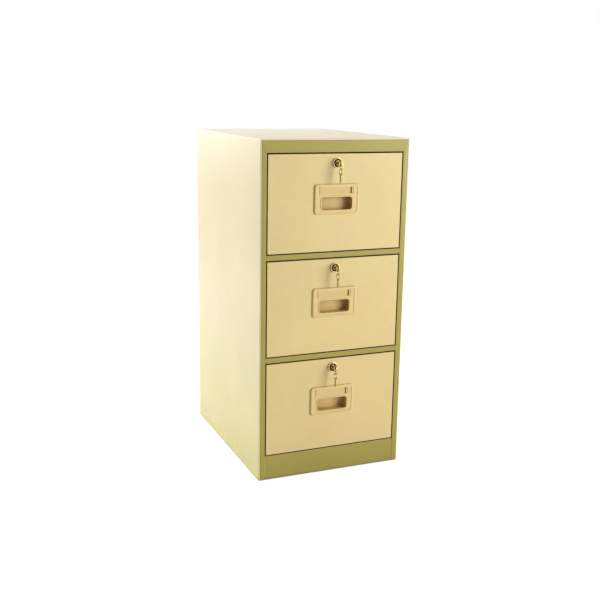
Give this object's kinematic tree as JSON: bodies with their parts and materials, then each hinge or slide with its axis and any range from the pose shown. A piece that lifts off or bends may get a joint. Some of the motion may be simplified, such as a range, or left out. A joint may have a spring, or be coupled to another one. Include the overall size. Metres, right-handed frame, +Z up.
{
  "type": "filing cabinet",
  "caption": "Vertical steel filing cabinet with telescopic lockable drawers, each with a recessed moulded handle under a label window.",
  "frame": {"origin": "middle of the whole object's footprint on the floor, with the keys that stand out in front counted in", "axes": "+Z up, +X to the right seen from the front, -Y out of the drawer fronts"},
  "size_m": [0.47, 0.6586, 1.016],
  "materials": {
    "case_paint": "semi-gloss cream enamel",
    "frame_paint": "semi-gloss olive enamel",
    "drawer_paint": "semi-gloss beige enamel",
    "handle_plastic": "satin moulded",
    "lock_chrome": "polished",
    "lock_steel": "zinc plated",
    "key_nickel": "nickel plated, worn",
    "slide_zinc": "bright zinc",
    "buffer_rubber": "matt"
  },
  "bodies": {
    "cabinet": {"side_panel_left": "case_paint", "side_panel_right": "case_paint", "top_panel": "case_paint", "back_panel": "case_paint", "base_panel": "case_paint", "rear_base_rail": "case_paint", "stile_left": "frame_paint", "stile_right": "frame_paint", "top_rail": "frame_paint", "upper_divider_rail": "frame_paint", "lower_divider_rail": "frame_paint", "plinth": "frame_paint", "slide_uprights": "case_paint", "fixed_slide_rails": "slide_zinc", "drawer_buffers": "buffer_rubber"},
    "lower_drawer": {"lower_front": "drawer_paint", "lower_inner_front": "drawer_paint", "lower_tray": "drawer_paint", "lower_handle": "handle_plastic", "lower_lock_barrel": "lock_chrome", "lower_lock_nut": "lock_steel", "lower_inner_rails": "slide_zinc"},
    "lower_lock": {"lower_lock_plug": "lock_chrome", "lower_lock_cam": "lock_steel"},
    "lower_inserted_key": {"lower_key": "key_nickel"},
    "lower_ring": {"lower_key_ring": "key_nickel"},
    "lower_hanging_key": {"lower_spare_key": "key_nickel"},
    "lower_slide_middles": {"lower_middle_rails": "slide_zinc"},
    "lower_slide_outer_cages": {"lower_outer_cages": "slide_zinc"},
    "lower_slide_inner_cages": {"lower_inner_cages": "slide_zinc"},
    "middle_drawer": {"middle_front": "drawer_paint", "middle_inner_front": "drawer_paint", "middle_tray": "drawer_paint", "middle_handle": "handle_plastic", "middle_lock_barrel": "lock_chrome", "middle_lock_nut": "lock_steel", "middle_inner_rails": "slide_zinc"},
    "middle_lock": {"middle_lock_plug": "lock_chrome", "middle_lock_cam": "lock_steel"},
    "middle_inserted_key": {"middle_key": "key_nickel"},
    "middle_ring": {"middle_key_ring": "key_nickel"},
    "middle_hanging_key": {"middle_spare_key": "key_nickel"},
    "middle_slide_middles": {"middle_middle_rails": "slide_zinc"},
    "middle_slide_outer_cages": {"middle_outer_cages": "slide_zinc"},
    "middle_slide_inner_cages": {"middle_inner_cages": "slide_zinc"},
    "upper_drawer": {"upper_front": "drawer_paint", "upper_inner_front": "drawer_paint", "upper_tray": "drawer_paint", "upper_handle": "handle_plastic", "upper_lock_barrel": "lock_chrome", "upper_lock_nut": "lock_steel", "upper_inner_rails": "slide_zinc"},
    "upper_lock": {"upper_lock_plug": "lock_chrome", "upper_lock_cam": "lock_steel"},
    "upper_inserted_key": {"upper_key": "key_nickel"},
    "upper_ring": {"upper_key_ring": "key_nickel"},
    "upper_hanging_key": {"upper_spare_key": "key_nickel"},
    "upper_slide_middles": {"upper_middle_rails": "slide_zinc"},
    "upper_slide_outer_cages": {"upper_outer_cages": "slide_zinc"},
    "upper_slide_inner_cages": {"upper_inner_cages": "slide_zinc"}
  },
  "joints": [
    {"name": "lower_drawer_slide", "type": "slide", "parent": "cabinet", "child": "lower_drawer", "axis": [0, -1, 0], "range_m": [0, 0.53]},
    {"name": "lower_slide_middles_follow", "type": "slide", "parent": "cabinet", "child": "lower_slide_middles", "axis": [0, -1, 0], "range_m": [0, 0.265]},
    {"name": "lower_slide_outer_cages_follow", "type": "slide", "parent": "cabinet", "child": "lower_slide_outer_cages", "axis": [0, -1, 0], "range_m": [0, 0.1325]},
    {"name": "lower_slide_inner_cages_follow", "type": "slide", "parent": "cabinet", "child": "lower_slide_inner_cages", "axis": [0, -1, 0], "range_m": [0, 0.3975]},
    {"name": "lower_lock_turn", "type": "hinge", "parent": "lower_drawer", "child": "lower_lock", "pos_m": [0, -0.2927, 0.3353], "axis": [0, -1, 0], "range_deg": [0, 90]},
    {"name": "lower_key_pull", "type": "slide", "parent": "lower_lock", "child": "lower_inserted_key", "axis": [0, -1, 0], "range_m": [0, 0.03]},
    {"name": "lower_ring_swing", "type": "hinge", "parent": "lower_inserted_key", "child": "lower_ring", "pos_m": [0, -0.3183, 0.3332], "axis": [-1, 0, 0], "range_deg": [-12, 90]},
    {"name": "lower_spare_swing", "type": "hinge", "parent": "lower_ring", "child": "lower_hanging_key", "pos_m": [0, -0.3183, 0.3182], "axis": [-1, 0, 0], "range_deg": [-8, 60]},
    {"name": "middle_drawer_slide", "type": "slide", "parent": "cabinet", "child": "middle_drawer", "axis": [0, -1, 0], "range_m": [0, 0.53]},
    {"name": "middle_slide_middles_follow", "type": "slide", "parent": "cabinet", "child": "middle_slide_middles", "axis": [0, -1, 0], "range_m": [0, 0.265]},
    {"name": "middle_slide_outer_cages_follow", "type": "slide", "parent": "cabinet", "child": "middle_slide_outer_cages", "axis": [0, -1, 0], "range_m": [0, 0.1325]},
    {"name": "middle_slide_inner_cages_follow", "type": "slide", "parent": "cabinet", "child": "middle_slide_inner_cages", "axis": [0, -1, 0], "range_m": [0, 0.3975]},
    {"name": "middle_lock_turn", "type": "hinge", "parent": "middle_drawer", "child": "middle_lock", "pos_m": [0, -0.2927, 0.6411], "axis": [0, -1, 0], "range_deg": [0, 90]},
    {"name": "middle_key_pull", "type": "slide", "parent": "middle_lock", "child": "middle_inserted_key", "axis": [0, -1, 0], "range_m": [0, 0.03]},
    {"name": "middle_ring_swing", "type": "hinge", "parent": "middle_inserted_key", "child": "middle_ring", "pos_m": [0, -0.3183, 0.639], "axis": [-1, 0, 0], "range_deg": [-12, 90]},
    {"name": "middle_spare_swing", "type": "hinge", "parent": "middle_ring", "child": "middle_hanging_key", "pos_m": [0, -0.3183, 0.624], "axis": [-1, 0, 0], "range_deg": [-8, 60]},
    {"name": "upper_drawer_slide", "type": "slide", "parent": "cabinet", "child": "upper_drawer", "axis": [0, -1, 0], "range_m": [0, 0.53]},
    {"name": "upper_slide_middles_follow", "type": "slide", "parent": "cabinet", "child": "upper_slide_middles", "axis": [0, -1, 0], "range_m": [0, 0.265]},
    {"name": "upper_slide_outer_cages_follow", "type": "slide", "parent": "cabinet", "child": "upper_slide_outer_cages", "axis": [0, -1, 0], "range_m": [0, 0.1325]},
    {"name": "upper_slide_inner_cages_follow", "type": "slide", "parent": "cabinet", "child": "upper_slide_inner_cages", "axis": [0, -1, 0], "range_m": [0, 0.3975]},
    {"name": "upper_lock_turn", "type": "hinge", "parent": "upper_drawer", "child": "upper_lock", "pos_m": [0, -0.2927, 0.9469], "axis": [0, -1, 0], "range_deg": [0, 90]},
    {"name": "upper_key_pull", "type": "slide", "parent": "upper_lock", "child": "upper_inserted_key", "axis": [0, -1, 0], "range_m": [0, 0.03]},
    {"name": "upper_ring_swing", "type": "hinge", "parent": "upper_inserted_key", "child": "upper_ring", "pos_m": [0, -0.3183, 0.9448], "axis": [-1, 0, 0], "range_deg": [-12, 90]},
    {"name": "upper_spare_swing", "type": "hinge", "parent": "upper_ring", "child": "upper_hanging_key", "pos_m": [0, -0.3183, 0.9298], "axis": [-1, 0, 0], "range_deg": [-8, 60]}
  ],
  "couplings": [
    {"joint": "lower_slide_middles_follow", "follows": "lower_drawer_slide", "ratio": 0.5},
    {"joint": "lower_slide_outer_cages_follow", "follows": "lower_drawer_slide", "ratio": 0.25},
    {"joint": "lower_slide_inner_cages_follow", "follows": "lower_drawer_slide", "ratio": 0.75},
    {"joint": "middle_slide_middles_follow", "follows": "middle_drawer_slide", "ratio": 0.5},
    {"joint": "middle_slide_outer_cages_follow", "follows": "middle_drawer_slide", "ratio": 0.25},
    {"joint": "middle_slide_inner_cages_follow", "follows": "middle_drawer_slide", "ratio": 0.75},
    {"joint": "upper_slide_middles_follow", "follows": "upper_drawer_slide", "ratio": 0.5},
    {"joint": "upper_slide_outer_cages_follow", "follows": "upper_drawer_slide", "ratio": 0.25},
    {"joint": "upper_slide_inner_cages_follow", "follows": "upper_drawer_slide", "ratio": 0.75}
  ]
}
